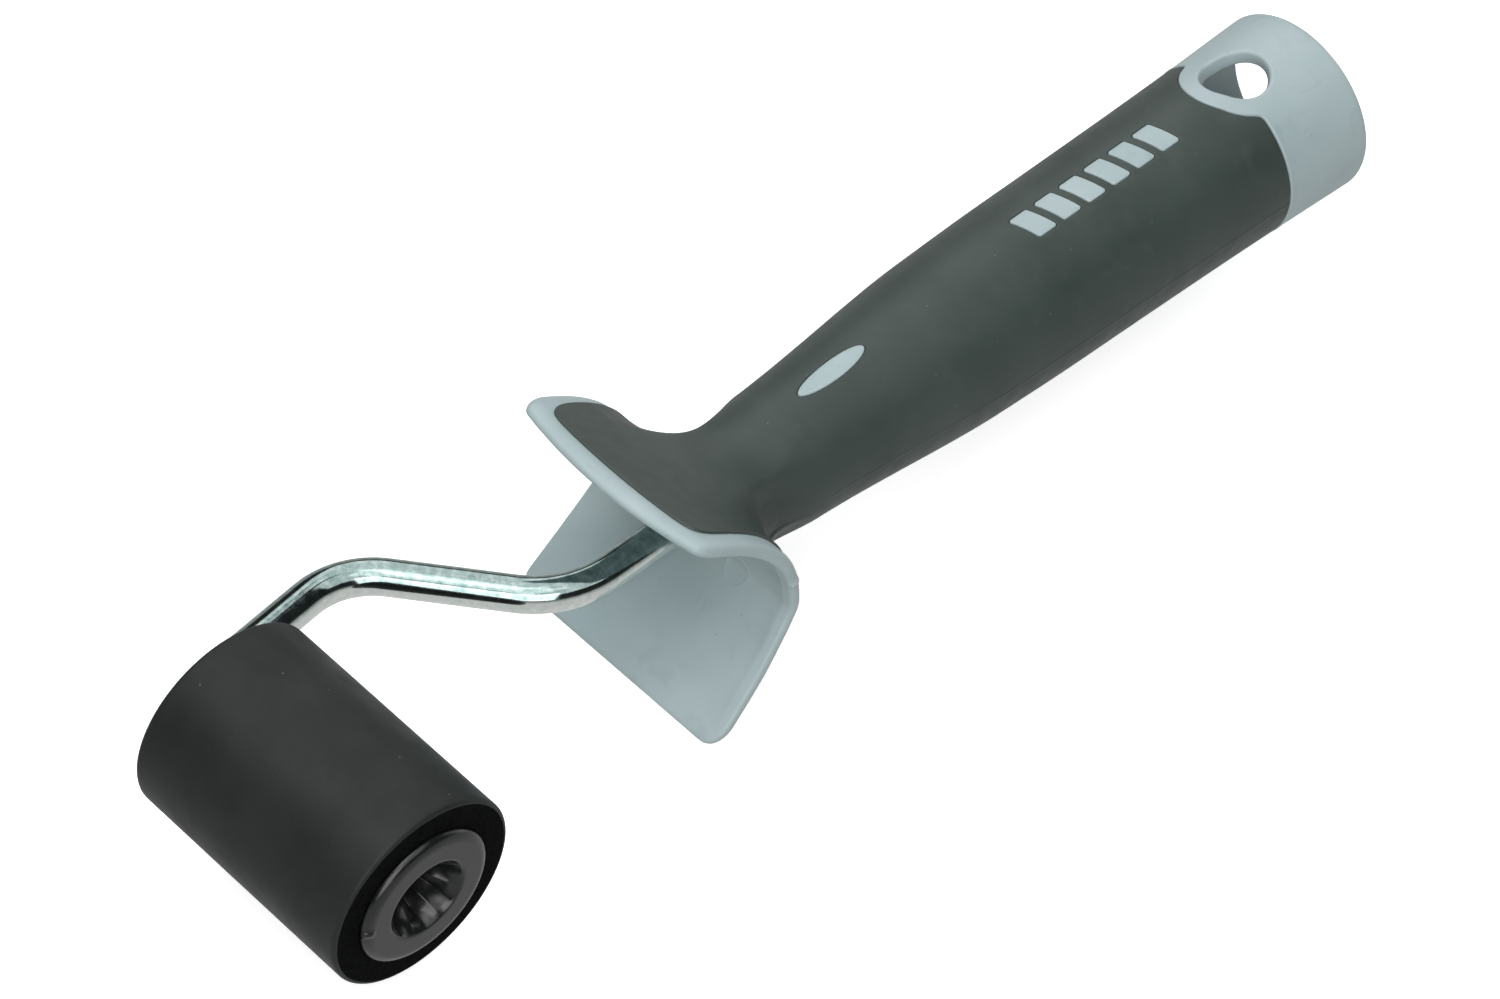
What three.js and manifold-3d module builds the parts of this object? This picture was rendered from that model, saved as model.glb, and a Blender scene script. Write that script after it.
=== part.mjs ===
// Seam roller: a spinning rubber roller on a bent wire frame, with a two-component handle.
// Millimetres, +Z up. The handle runs along +Y, the roller spins about X, and the origin is
// the bottom centre of the whole tool's box.
import * as THREE from "three";
import { mergeVertices } from "three/addons/utils/BufferGeometryUtils.js";
import Module from "manifold-3d";

const wasm = await Module();
wasm.setup();

// ---- Driving dimensions. The tool's working frame has x = 0 in the handle's middle plane,
// and y = z = 0 on the roller's axle.
const GAP = 0.3; // room left between two pieces that touch

const ROLLER_LENGTH = 45.4;
const ROLLER_RADIUS = 17.1;
const ROLLER_EDGE = 0.6;
const ROLLER_X = 4.4; // middle of the roller, off the handle's plane
const TUBE_OUTER = 11;
const TUBE_INNER = 9;
const CAP_RADIUS = 12.2;
const CAP_STAND = 1.5; // how far a cap stands out of the sleeve's end
const CAP_SPIGOT = 7;
const FLANGE = 1.3; // thickness of the flush flange on the wire's side
const RECESS_MOUTH = 6.8;
const RECESS_FLOOR = 3.4;
const RECESS_DEPTH = 9;
const RECESS_RIBS = 8;
const BUSH_LENGTH = 4.5;
const BUSH_CENTRE = 9.2; // middle of each bush, from the middle of the roller
const RUNNING = 0.08; // radial room between an axle and a bush

const WIRE_RADIUS = 3;
const WIRE_TURN = { x: -24.2, y: 0, tangent: 5.2 }; // from the axle to the side stretch
const WIRE_CRANK = { x: -27.6, y: 31.4, tangent: 7.5 }; // back towards the handle's line
const WIRE_LINE = { x: 0, y: 53.9, tangent: 8.5 }; // onto the handle's line
const WIRE_TANG_Y = 106; // its end inside the handle
const AXLE_END = 13.4; // from the middle of the roller
const EAR_Y = 98; // flattened ears that stop the wire from turning in the handle
const EAR_SIZE = [9, 5, 1.6];

const BUTT_Y = 217.5;
const GRIP_END_Y = 198.9; // the soft grip ends here, and the bare butt starts
const GRIP_THICK = 2;
const NECK_Y = 99;
const NECK_RADIUS = 11.6;
const HANDLE_SKIN = [
  [NECK_Y, NECK_RADIUS],
  [114, 12.75],
  [131, 14.3],
  [150, 14.9],
  [175, 15.2],
  [GRIP_END_Y, 15.65],
];
const BUTT_RADIUS = 15.9;
const BUTT_EDGE = 1.6;
const SOCKET = [
  [124, 9],
  [150, 10.4],
  [190, 11],
  [198, 13.2],
  [BUTT_Y, 13.3],
];

const GUARD_HALF_WIDTH = 20.7; // at the middle of its height
const GUARD_TOP = 21.5; // at its corners
const GUARD_CROWN = 1; // how much higher its top edge is in the middle
const GUARD_BOTTOM = -23.4;
const GUARD_THICK = 2.6;
const GUARD_CORNER = 2.4;
const GUARD_BACK_Y = 81.1; // deepest line of the guard's hollow front
const GUARD_BACK_Z = -4.2;
const GUARD_SWEEP_UP = { reach: 13.7, power: 2.3 }; // curls forward above that line
const GUARD_SWEEP_DOWN = { reach: 23.3, bend: 0.1 }; // leans forward below it, past a tight bend
const SWEEP_HEIGHT = 22;
const FLARE_INSET = 2.3; // bare rim left round the grip's flare
const FLARE_STEP = 0.7; // how thick the flare's edge stands on the guard

const HANG_TIP_Y = 192.6;
const HANG_ROUND_Y = 201.8;
const HANG_RADIUS = 4.6;
const HANG_COLLAR = 3.2;
const WINDOW = { y: 109, length: 14, width: 4.6 };
const MARK = { first: 153.4, pitch: 5.6, bars: 6, length: 4, width: 6, slant: 1.6 };

const SIDES = 40;
const SMALL_SIDES = 32;

// ---- Helpers

// A closed geometry as a solid, whichever way its faces were wound.
function solid(geometry) {
  const bare = geometry.clone();
  bare.deleteAttribute("normal");
  bare.deleteAttribute("uv");
  const merged = mergeVertices(bare, 1e-4);
  const positions = merged.getAttribute("position").array;
  const faces = new Uint32Array(merged.index.array);
  const made = new wasm.Manifold(
    new wasm.Mesh({ numProp: 3, vertProperties: positions, triVerts: faces }),
  );
  if (made.volume() > 0) return made;
  for (let i = 0; i < faces.length; i += 3) {
    [faces[i + 1], faces[i + 2]] = [faces[i + 2], faces[i + 1]];
  }
  return new wasm.Manifold(
    new wasm.Mesh({ numProp: 3, vertProperties: positions, triVerts: faces }),
  );
}

// The named mesh of a solid, in its own material.
function piece(name, body, material) {
  const mesh = body.getMesh();
  const stride = mesh.numProp;
  const points = new Float32Array(mesh.numVert * 3);
  for (let i = 0; i < mesh.numVert; i++) {
    points.set(mesh.vertProperties.subarray(i * stride, i * stride + 3), i * 3);
  }
  const geometry = new THREE.BufferGeometry();
  geometry.setAttribute("position", new THREE.BufferAttribute(points, 3));
  geometry.setIndex(new THREE.BufferAttribute(mesh.triVerts, 1));
  geometry.computeVertexNormals();
  const made = new THREE.Mesh(geometry, material);
  made.name = name;
  return made;
}

function finish(color, roughness, metalness) {
  return new THREE.MeshStandardMaterial({ color, roughness, metalness });
}

// A body turned about the handle's line from [y, radius] points.
function turnedY(points, sides = SIDES) {
  const profile = points.map(([y, radius]) => new THREE.Vector2(radius, y));
  return solid(new THREE.LatheGeometry(profile, sides));
}

// A body turned about the roller's axle from [x, radius] points.
function turnedX(points, sides = SIDES) {
  const profile = points.map(([x, radius]) => new THREE.Vector2(radius, x));
  return solid(new THREE.LatheGeometry(profile, sides).rotateZ(-Math.PI / 2));
}

// A plain ring about the roller's axle.
function ringX(from, to, inner, outer, sides = SIDES) {
  return turnedX(
    [
      [from, inner],
      [from, outer],
      [to, outer],
      [to, inner],
      [from, inner],
    ],
    sides,
  );
}

// A prism along Z over an outline given in the handle's x and y.
function prismZ(shape, from, to) {
  const geometry = new THREE.ExtrudeGeometry(shape, {
    depth: to - from,
    bevelEnabled: false,
    curveSegments: 10,
  });
  return solid(geometry.translate(0, 0, from));
}

// ---- Roller

// Quarter-round points from a flat end at x to the outer radius.
function roundedEnd(x, radius, edge, towards, steps = 3) {
  const points = [];
  for (let i = 0; i <= steps; i++) {
    const turn = (Math.PI / 2) * (i / steps);
    const along = x - towards * edge * (1 - Math.sin(Math.PI / 2 - turn));
    points.push([along, radius - edge * (1 - Math.sin(turn))]);
  }
  return points;
}

function rollerSleeve() {
  const end = ROLLER_LENGTH / 2;
  const bore = TUBE_OUTER + GAP;
  const seat = CAP_RADIUS + GAP;
  const depth = FLANGE + GAP;
  return turnedX([
    [-end + depth, bore],
    [-end + depth, seat],
    [-end, seat],
    ...roundedEnd(-end, ROLLER_RADIUS, ROLLER_EDGE, -1),
    ...roundedEnd(end, ROLLER_RADIUS, ROLLER_EDGE, 1).reverse(),
    [end, bore],
    [-end + depth, bore],
  ]);
}

function coreTube() {
  const end = ROLLER_LENGTH / 2 - GAP;
  return ringX(FLANGE + GAP - end, end, TUBE_INNER, TUBE_OUTER);
}

// The spinning bush that a steel axle runs in. `middle` is its place along the axle.
function bush(middle) {
  const half = BUSH_LENGTH / 2;
  const inner = WIRE_RADIUS + RUNNING;
  return ringX(middle - half, middle + half, inner, TUBE_INNER - GAP, SMALL_SIDES);
}

function outerEndCap() {
  const face = ROLLER_LENGTH / 2 + CAP_STAND;
  const floor = face - RECESS_DEPTH;
  const root = ROLLER_LENGTH / 2 + GAP - CAP_SPIGOT;
  const seat = ROLLER_LENGTH / 2 + GAP;
  const cup = turnedX([
    [root - 1.2, 0],
    [root - 1.2, TUBE_INNER - GAP],
    [seat, TUBE_INNER - GAP],
    [seat, CAP_RADIUS],
    ...roundedEnd(face, CAP_RADIUS, 0.8, 1).reverse(),
    [face, RECESS_MOUTH],
    [floor, RECESS_FLOOR],
    [floor, 0],
  ]);
  let made = cup;
  for (let i = 0; i < RECESS_RIBS; i++) {
    const rib = recessRib(floor, face).rotate([(360 * i) / RECESS_RIBS, 0, 0]);
    made = made.add(rib);
  }
  return made;
}

// One thin rib on the recess's cone, deepest at the floor.
function recessRib(floor, face) {
  const shape = new THREE.Shape();
  shape.moveTo(floor - 0.5, 0.9);
  shape.lineTo(face - 1.2, RECESS_MOUTH - 1.3);
  shape.lineTo(face - 1.2, RECESS_MOUTH + 0.6);
  shape.lineTo(floor - 0.5, RECESS_FLOOR + 1);
  const thick = 0.8;
  const geometry = new THREE.ExtrudeGeometry(shape, { depth: thick, bevelEnabled: false });
  return solid(geometry.translate(0, 0, -thick / 2));
}

// The cap on the wire's side: a flush flange and a short skirt inside the tube.
function innerEndCap() {
  const bore = WIRE_RADIUS + 0.8;
  const face = -ROLLER_LENGTH / 2;
  const root = face + CAP_SPIGOT;
  const outer = TUBE_INNER - GAP;
  return turnedX([
    [face, bore],
    [face, CAP_RADIUS],
    [face + FLANGE, CAP_RADIUS],
    [face + FLANGE, outer],
    [root, outer],
    [root, outer - 1.4],
    [face + FLANGE, outer - 1.4],
    [face + FLANGE, bore],
    [face, bore],
  ]);
}

// ---- Wire frame

// A path of straight stretches joined by round bends: each corner has its tangent length.
function bentPath(corners) {
  const path = new THREE.CurvePath();
  let from = corners[0].at;
  for (let i = 1; i < corners.length; i++) {
    const { at, tangent = 0 } = corners[i];
    const into = at.clone().sub(from).normalize();
    const start = at.clone().addScaledVector(into, -tangent);
    path.add(new THREE.LineCurve3(from, start));
    if (!tangent) break;
    const out = corners[i + 1].at.clone().sub(at).normalize();
    const end = at.clone().addScaledVector(out, tangent);
    const half = into.angleTo(out) / 2;
    const pull = tangent * ((4 / 3) * Math.tan(half / 2)) / Math.tan(half);
    const first = start.clone().addScaledVector(into, pull);
    const second = end.clone().addScaledVector(out, -pull);
    path.add(new THREE.CubicBezierCurve3(start, first, second, end));
    from = end;
  }
  return path;
}

function wireFrame() {
  const at = (x, y) => new THREE.Vector3(x, y, 0);
  const path = bentPath([
    { at: at(ROLLER_X + AXLE_END, 0) },
    ...[WIRE_TURN, WIRE_CRANK, WIRE_LINE].map(({ x, y, tangent }) => ({ at: at(x, y), tangent })),
    { at: at(0, WIRE_TANG_Y) },
  ]);
  const section = new THREE.Shape();
  section.absarc(0, 0, WIRE_RADIUS, 0, 2 * Math.PI);
  const rod = solid(
    new THREE.ExtrudeGeometry(section, {
      steps: 56,
      curveSegments: 10,
      bevelEnabled: false,
      extrudePath: path,
    }),
  );
  const ears = new THREE.BoxGeometry(...EAR_SIZE).translate(0, EAR_Y, 0);
  return rod.add(solid(ears));
}

// Push-on ring that keeps the roller on the axle: a shallow dish.
function retainingRing() {
  const near = ROLLER_X + BUSH_CENTRE + BUSH_LENGTH / 2 + 0.4;
  const bore = WIRE_RADIUS + 0.2;
  return turnedX(
    [
      [near, 6.2],
      [near + 0.6, 6.2],
      [near + 1.2, bore],
      [near + 0.6, bore],
      [near, 6.2],
    ],
    SMALL_SIDES,
  );
}

// Collar on the axle that the inner bush runs up against.
function stopCollar() {
  const near = ROLLER_X - BUSH_CENTRE - BUSH_LENGTH / 2 - 0.4;
  return ringX(near - 1.8, near, WIRE_RADIUS + 0.2, 5.4, SMALL_SIDES);
}

// ---- Handle

// How far along the handle the guard's hollow front lies at height z.
function guardFront(z) {
  const rise = (z - GUARD_BACK_Z) / SWEEP_HEIGHT;
  if (rise > 0) return GUARD_BACK_Y - GUARD_SWEEP_UP.reach * rise ** GUARD_SWEEP_UP.power;
  const { reach, bend } = GUARD_SWEEP_DOWN;
  return GUARD_BACK_Y - reach * (Math.hypot(rise, bend) - bend);
}

// A point [y, z] on the guard, `offset` behind its front measured square to it.
function guardBehind(z, offset) {
  const step = 0.01;
  const slope = (guardFront(z + step) - guardFront(z - step)) / (2 * step);
  const long = Math.hypot(1, slope);
  return [guardFront(z) + offset / long, z - (offset * slope) / long];
}

// A slab along X between two lines that give [y, z] at each height of the guard.
function guardSlab(frontLine, backLine, reach, over) {
  const steps = 18;
  const heights = [];
  for (let i = 0; i <= steps; i++) {
    heights.push(GUARD_BOTTOM - over + ((GUARD_TOP - GUARD_BOTTOM + 2 * over) * i) / steps);
  }
  const front = heights.map(frontLine);
  const back = heights.map(backLine).reverse();
  const shape = new THREE.Shape([...front, ...back].map(([y, z]) => new THREE.Vector2(y, z)));
  const slab = new THREE.ExtrudeGeometry(shape, { depth: 2 * reach, bevelEnabled: false });
  // The shape's x becomes Y and its y becomes Z.
  const turn = new THREE.Matrix4().makeBasis(
    new THREE.Vector3(0, 1, 0),
    new THREE.Vector3(0, 0, 1),
    new THREE.Vector3(1, 0, 0),
  );
  return solid(slab.applyMatrix4(turn).translate(-reach, 0, 0));
}

// Half the guard's width at height z: its sides are slightly hollow.
function guardHalfWidth(z) {
  return GUARD_HALF_WIDTH + 0.0012 * z * z - 0.033 * z;
}

// The guard's face outline in x and z: round corners, an arched top and a straight foot.
function guardOutline() {
  const r = GUARD_CORNER;
  const top = GUARD_TOP;
  const foot = GUARD_BOTTOM;
  const wTop = guardHalfWidth(top);
  const wFoot = guardHalfWidth(foot);
  const wMid = 2 * GUARD_HALF_WIDTH - (wTop + wFoot) / 2;
  const shape = new THREE.Shape();
  shape.moveTo(-wFoot + r, foot);
  shape.lineTo(wFoot - r, foot);
  shape.absarc(wFoot - r, foot + r, r, -Math.PI / 2, 0);
  shape.quadraticCurveTo(wMid, 0, wTop, top - r);
  shape.absarc(wTop - r, top - r, r, 0, Math.PI / 2);
  shape.quadraticCurveTo(0, top + 2 * GUARD_CROWN, -wTop + r, top);
  shape.absarc(-wTop + r, top - r, r, Math.PI / 2, Math.PI);
  shape.quadraticCurveTo(-wMid, 0, -wFoot, foot + r);
  shape.absarc(-wFoot + r, foot + r, r, Math.PI, 1.5 * Math.PI);
  return shape;
}

function guardPlate() {
  const block = new THREE.ExtrudeGeometry(guardOutline(), {
    depth: 60,
    curveSegments: 6,
    bevelEnabled: false,
  });
  block.rotateX(Math.PI / 2).translate(0, 100, 0);
  const front = (z) => guardBehind(z, 0);
  const back = (z) => guardBehind(z, GUARD_THICK);
  return guardSlab(front, back, GUARD_HALF_WIDTH + 5, 4).intersect(solid(block));
}

// The handle's outer radius along its line, every few millimetres, less `less`.
function skinPoints(less, steps = 11) {
  const curve = new THREE.SplineCurve(HANDLE_SKIN.map(([y, r]) => new THREE.Vector2(y, r)));
  return curve.getPoints(steps).map((p) => [p.x, p.y - less]);
}

// Outline in x and y of the hang hole, grown by `grow`.
function hangOutline(grow) {
  const shape = new THREE.Shape();
  const r = HANG_RADIUS + grow;
  const tip = HANG_TIP_Y - grow;
  const nose = 1.2 + grow / 2;
  shape.absarc(0, HANG_ROUND_Y, r, -0.35, Math.PI + 0.35);
  shape.quadraticCurveTo(-r * 0.72, tip + nose * 1.6, -nose, tip + nose * 0.35);
  shape.quadraticCurveTo(0, tip - nose * 0.3, nose, tip + nose * 0.35);
  shape.quadraticCurveTo(r * 0.72, tip + nose * 1.6, r * Math.cos(0.35), HANG_ROUND_Y - r * Math.sin(0.35));
  return shape;
}

function windowOutline(grow) {
  const shape = new THREE.Shape();
  shape.absellipse(0, WINDOW.y, WINDOW.width / 2 + grow, WINDOW.length / 2 + grow, 0, 2 * Math.PI);
  return shape;
}

// Slanted bars in a row: a plain mark on the grip.
function markOutline(index, grow) {
  const start = MARK.first + MARK.pitch * index - MARK.length / 2;
  const half = MARK.width / 2 + grow;
  const lean = MARK.slant / 2;
  const shape = new THREE.Shape();
  shape.moveTo(-half, start - grow - lean);
  shape.lineTo(half, start - grow + lean);
  shape.lineTo(half, start + MARK.length + grow + lean);
  shape.lineTo(-half, start + MARK.length + grow - lean);
  return shape;
}

// Upright prisms of the window and the mark's bars, which reach from the core to the skin.
function lands(grow) {
  const base = 6;
  const top = BUTT_RADIUS + 4;
  let made = prismZ(windowOutline(grow), base, top);
  for (let i = 0; i < MARK.bars; i++) {
    made = made.add(prismZ(markOutline(i, grow), base, top));
  }
  return made;
}

// The grip's whole outer skin, from the guard's flare to the butt.
function gripSkin() {
  const rings = [...flareRings(), ...skinPoints(0).map(([y, radius]) => circleRing(y, radius))];
  return loft(rings);
}

function circleRing(y, radius) {
  const ring = [];
  for (let i = 0; i < SIDES; i++) {
    const turn = (2 * Math.PI * i) / SIDES;
    ring.push(new THREE.Vector3(radius * Math.cos(turn), y, radius * Math.sin(turn)));
  }
  return ring;
}

// Rings that leave the guard's back inside its bare rim and sweep into the neck.
function flareRings() {
  const steps = 7;
  const rings = [];
  const starts = circleRing(0, 1).map((way) => flareEdge(way.x, way.z));
  rings.push(starts.map((edge) => edge.inside));
  const ends = circleRing(NECK_Y, NECK_RADIUS);
  for (let s = 0; s < steps; s++) {
    const t = s / steps;
    rings.push(starts.map((edge, i) => flarePoint(edge, ends[i], t)));
  }
  return rings;
}

// Where the flare's edge stands on the guard, in the direction (cos, sin) round the handle.
function flareEdge(cos, sin) {
  const n = 9; // how square the flare's outline is
  const tall = sin > 0 ? GUARD_TOP : -GUARD_BOTTOM;
  const reach = (Math.abs(cos) ** n + Math.abs(sin) ** n) ** (-1 / n);
  const x = reach * cos * (GUARD_HALF_WIDTH - FLARE_INSET);
  // The guard's back leans out over its front by about this much at the top and the foot.
  const lean = GUARD_THICK * 0.7;
  const z = reach * sin * (tall - FLARE_INSET - lean);
  const [yIn, zIn] = guardBehind(z, GUARD_THICK / 2);
  const [yOut, zOut] = guardBehind(z, GUARD_THICK + FLARE_STEP);
  const [yNext, zNext] = guardBehind(z * 0.7, GUARD_THICK + FLARE_STEP);
  const outer = new THREE.Vector3(x, yOut, zOut);
  const inward = new THREE.Vector3(x * 0.7, yNext, zNext).sub(outer).normalize();
  return { inside: new THREE.Vector3(x, yIn, zIn), outer, inward };
}

function flarePoint(edge, end, t) {
  const reach = edge.outer.distanceTo(end);
  const first = edge.outer.clone().addScaledVector(edge.inward, reach * 0.62);
  const second = end.clone().add(new THREE.Vector3(0, -reach * 0.62, 0));
  return new THREE.CubicBezierCurve3(edge.outer, first, second, end).getPoint(t);
}

// A closed body through rings of equal length, with a fan at each end.
function loft(rings) {
  const count = rings[0].length;
  const points = rings.flat();
  const faces = [];
  for (let r = 0; r + 1 < rings.length; r++) {
    for (let i = 0; i < count; i++) {
      const next = (i + 1) % count;
      const a = r * count + i;
      const b = r * count + next;
      faces.push(a, b, a + count, b, b + count, a + count);
    }
  }
  const last = (rings.length - 1) * count;
  const start = points.push(middle(rings[0])) - 1;
  const end = points.push(middle(rings[rings.length - 1])) - 1;
  for (let i = 0; i < count; i++) {
    const next = (i + 1) % count;
    faces.push(start, next, i, end, last + i, last + next);
  }
  const geometry = new THREE.BufferGeometry().setFromPoints(points);
  geometry.setIndex(faces);
  return solid(geometry);
}

function middle(ring) {
  const sum = new THREE.Vector3();
  for (const point of ring) sum.add(point);
  return sum.divideScalar(ring.length);
}

// The hard core's outside under the grip, grown by `grow`.
function coreOutside(grow) {
  const under = skinPoints(GRIP_THICK + GAP - grow, 10);
  const front = GUARD_BACK_Y - 1;
  return turnedY([
    [front, 0],
    [front, under[0][1]],
    ...under,
    [GRIP_END_Y + GAP, under[under.length - 1][1]],
    [GRIP_END_Y + GAP, 0],
  ]);
}

function buttOutside() {
  return turnedY([
    [GRIP_END_Y, 0],
    [GRIP_END_Y, BUTT_RADIUS],
    [BUTT_Y - BUTT_EDGE, BUTT_RADIUS],
    [BUTT_Y - BUTT_EDGE * 0.4, BUTT_RADIUS - BUTT_EDGE * 0.35],
    [BUTT_Y, BUTT_RADIUS - BUTT_EDGE * 0.85],
    [BUTT_Y, 0],
  ]);
}

function handleCore(skin) {
  const reach = BUTT_RADIUS + 2;
  const collar = prismZ(hangOutline(HANG_COLLAR), -reach, reach);
  const raised = collar.add(lands(0)).intersect(skin);
  const socket = turnedY([[SOCKET[0][0], 0], ...SOCKET, [BUTT_Y + 1, SOCKET[4][1]], [BUTT_Y + 1, 0]]);
  const hole = prismZ(hangOutline(0), -reach, reach);
  const wireBore = turnedY(
    [
      [60, 0],
      [60, WIRE_RADIUS + GAP],
      [WIRE_TANG_Y + GAP, WIRE_RADIUS + GAP],
      [WIRE_TANG_Y + GAP, 0],
    ],
    SMALL_SIDES,
  );
  const earRoom = new THREE.BoxGeometry(...EAR_SIZE.map((size) => size + 2 * GAP));
  earRoom.translate(0, EAR_Y, 0);
  return guardPlate()
    .add(coreOutside(0))
    .add(buttOutside())
    .add(raised)
    .subtract(socket)
    .subtract(hole)
    .subtract(wireBore)
    .subtract(solid(earRoom));
}

function gripOvermould(skin) {
  const reach = BUTT_RADIUS + 2;
  const front = (z) => [GUARD_BACK_Y - 40, z];
  const back = (z) => guardBehind(z, GUARD_THICK + GAP);
  const ahead = guardSlab(front, back, GUARD_HALF_WIDTH + 10, 4);
  return skin
    .subtract(ahead)
    .subtract(coreOutside(GAP))
    .subtract(prismZ(hangOutline(HANG_COLLAR + GAP), -reach, reach))
    .subtract(lands(GAP))
    .subtract(turnedY([[GRIP_END_Y - GAP, 0], [GRIP_END_Y - GAP, 20], [BUTT_Y, 20], [BUTT_Y, 0]]));
}

// ---- Materials

const rubber = finish(0x2b2d2d, 0.85, 0);
const glossyPlastic = finish(0x3a3d3d, 0.25, 0);
const tubePlastic = finish(0x8d9294, 0.5, 0);
const acetal = finish(0xe4e4dc, 0.4, 0);
const zincSteel = finish(0xc4cccc, 0.22, 1);
const springSteel = finish(0x70757a, 0.35, 1);
const greyPlastic = finish(0x9ba8ac, 0.42, 0);
const softGrip = finish(0x3b413e, 0.8, 0);

// ---- Assembly

const roller = new THREE.Group();
roller.position.x = ROLLER_X;
roller.add(
  piece("roller_sleeve", rollerSleeve(), rubber),
  piece("core_tube", coreTube(), tubePlastic),
  piece("outer_end_cap", outerEndCap(), glossyPlastic),
  piece("inner_end_cap", innerEndCap(), glossyPlastic),
  piece("outer_bush", bush(BUSH_CENTRE), acetal),
  piece("inner_bush", bush(-BUSH_CENTRE), acetal),
);

const skin = gripSkin();
const handle = new THREE.Group();
handle.add(
  piece("wire_frame", wireFrame(), zincSteel),
  piece("axle_retaining_ring", retainingRing(), springSteel),
  piece("stop_collar", stopCollar(), springSteel),
  piece("handle_core", handleCore(skin), greyPlastic),
  piece("grip_overmould", gripOvermould(skin), softGrip),
);

const tool = new THREE.Group();
tool.add(roller, handle);
const box = new THREE.Box3().setFromObject(tool);
const centre = box.getCenter(new THREE.Vector3());
tool.position.set(-centre.x, -centre.y, -box.min.z);

const seamRoller = new THREE.Group();
seamRoller.add(tool);

export default seamRoller;
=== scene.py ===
"""Seam roller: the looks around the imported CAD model.

All shapes are worked out in millimetres in the tool's own frame, with the roller's axle at y = z = 0
and the handle's line at x = 0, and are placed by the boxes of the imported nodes.
"""

import math

import bpy
import numpy as np
from mathutils import Matrix, Vector, noise
from mathutils.geometry import delaunay_2d_cdt


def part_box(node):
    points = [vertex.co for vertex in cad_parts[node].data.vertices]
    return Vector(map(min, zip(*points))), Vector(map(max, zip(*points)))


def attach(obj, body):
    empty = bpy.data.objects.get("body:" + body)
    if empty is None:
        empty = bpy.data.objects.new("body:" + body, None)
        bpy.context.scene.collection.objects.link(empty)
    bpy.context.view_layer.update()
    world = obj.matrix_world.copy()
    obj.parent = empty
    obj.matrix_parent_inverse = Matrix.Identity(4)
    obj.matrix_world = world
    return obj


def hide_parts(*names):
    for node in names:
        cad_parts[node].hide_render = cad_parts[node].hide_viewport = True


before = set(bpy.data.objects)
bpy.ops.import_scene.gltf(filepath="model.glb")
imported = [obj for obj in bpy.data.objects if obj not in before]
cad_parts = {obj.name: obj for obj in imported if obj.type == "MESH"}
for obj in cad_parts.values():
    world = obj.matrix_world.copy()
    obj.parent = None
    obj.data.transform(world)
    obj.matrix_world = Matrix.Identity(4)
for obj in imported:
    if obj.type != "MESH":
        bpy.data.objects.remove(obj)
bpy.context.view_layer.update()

MM = 0.001
TAU = 2 * math.pi

# ---- Place of the tool's frame, in metres

sleeve_low, sleeve_high = (np.array(corner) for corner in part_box("roller_sleeve"))
core_low, core_high = (np.array(corner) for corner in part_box("handle_core"))
axle = (sleeve_low + sleeve_high) / 2
ORIGIN = np.array([(core_low[0] + core_high[0]) / 2, axle[1], axle[2]])
ROLLER_X = (axle[0] - ORIGIN[0]) / MM
SLEEVE_HALF = (sleeve_high[0] - sleeve_low[0]) / 2 / MM
SLEEVE_RADIUS = (sleeve_high[2] - sleeve_low[2]) / 2 / MM
BUTT_END = (core_high[1] - ORIGIN[1]) / MM - 0.3

# ---- Driving sizes, in millimetres

WIRE_RADIUS = 3.0
AXLE_END = 13.4  # from the middle of the roller
WIRE_CORNERS = [((-24.2, 0.0), 5.2), ((-27.6, 31.4), 7.5), ((0.0, 53.9), 8.5)]  # corner, tangent length
WIRE_TANG = 104.0

GRIP_END = 198.9
GRIP_THICK = 2.1
SEAM_RISE = 0.08  # the mould's parting line along both flanks
NECK = 99.0
NECK_RADIUS = 11.6
SKIN = [(99, 11.6), (105, 11.98), (114, 12.75), (123, 13.6), (131, 14.25), (141, 14.65), (150, 14.9),
        (163, 15.08), (175, 15.25), (189, 15.5), (199, 15.75), (209, 16.1), (218, 16.4)]
SOCKET = [(124, 9.0), (150, 10.4), (190, 11.0), (198, 13.2), (218, 14.0)]
SOCKET_FLOOR = 124.0

GUARD_HALF_WIDTH = 20.7
GUARD_TOP = 21.5
GUARD_CROWN = 0.7
GUARD_FOOT = (core_low[2] - ORIGIN[2]) / MM
GUARD_THICK = 2.45
GUARD_LEAN = 0.1  # the plate leans at its top and foot, so its front stops a little short of them
GUARD_CORNER = 2.3
GUARD_FRONT_ROUND = 0.8
GUARD_BACK_ROUND = 1.4
GUARD_PROUD = 1.2  # how far the leaning edge may stand past the crown; the foot stays level
PIN_MARK = np.array([9.5, -5.3, 2.4])  # ring left by an ejector pin: x, z, radius
PIN_RISE = 0.14
BEAD_RISE = 0.22  # raised line inside the free edge
BEAD_INSET = 1.9
FOOT_CORNER = 3.2  # of the free side; the other corners are GUARD_CORNER
WIRE_HOLE = 3.25
GUARD_BOW = 1.4  # the top lip bows towards the roller between its corners
GUARD_EXTRA = (0.6, 1.0)  # the free side is wider: everywhere, and further below the bend
GATE_NUB = (0.9, 0.55)  # moulding nub on the guard's edge: z, height
GUARD_BACK_Y = 81.1
GUARD_BACK_Z = -4.2
SWEEP_UP = (13.7, 2.3)  # reach, power
SWEEP_DOWN = (23.3, 0.1)  # reach, bend
SWEEP_HEIGHT = 22.0
FLARE_INSET = 3.3  # bare rim beside the flare
FLARE_LOW = 0.9  # bare rim above and below it
FLARE_LIFT = 1.7  # the flare ends this much further in at the foot, so the plate covers it
FLARE_STEP = 0.4
FLARE_SQUARE = 14  # power that makes the flare's outline square
FLARE_LENGTH = 20.0  # of the flare's share of the grip's layout

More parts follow.
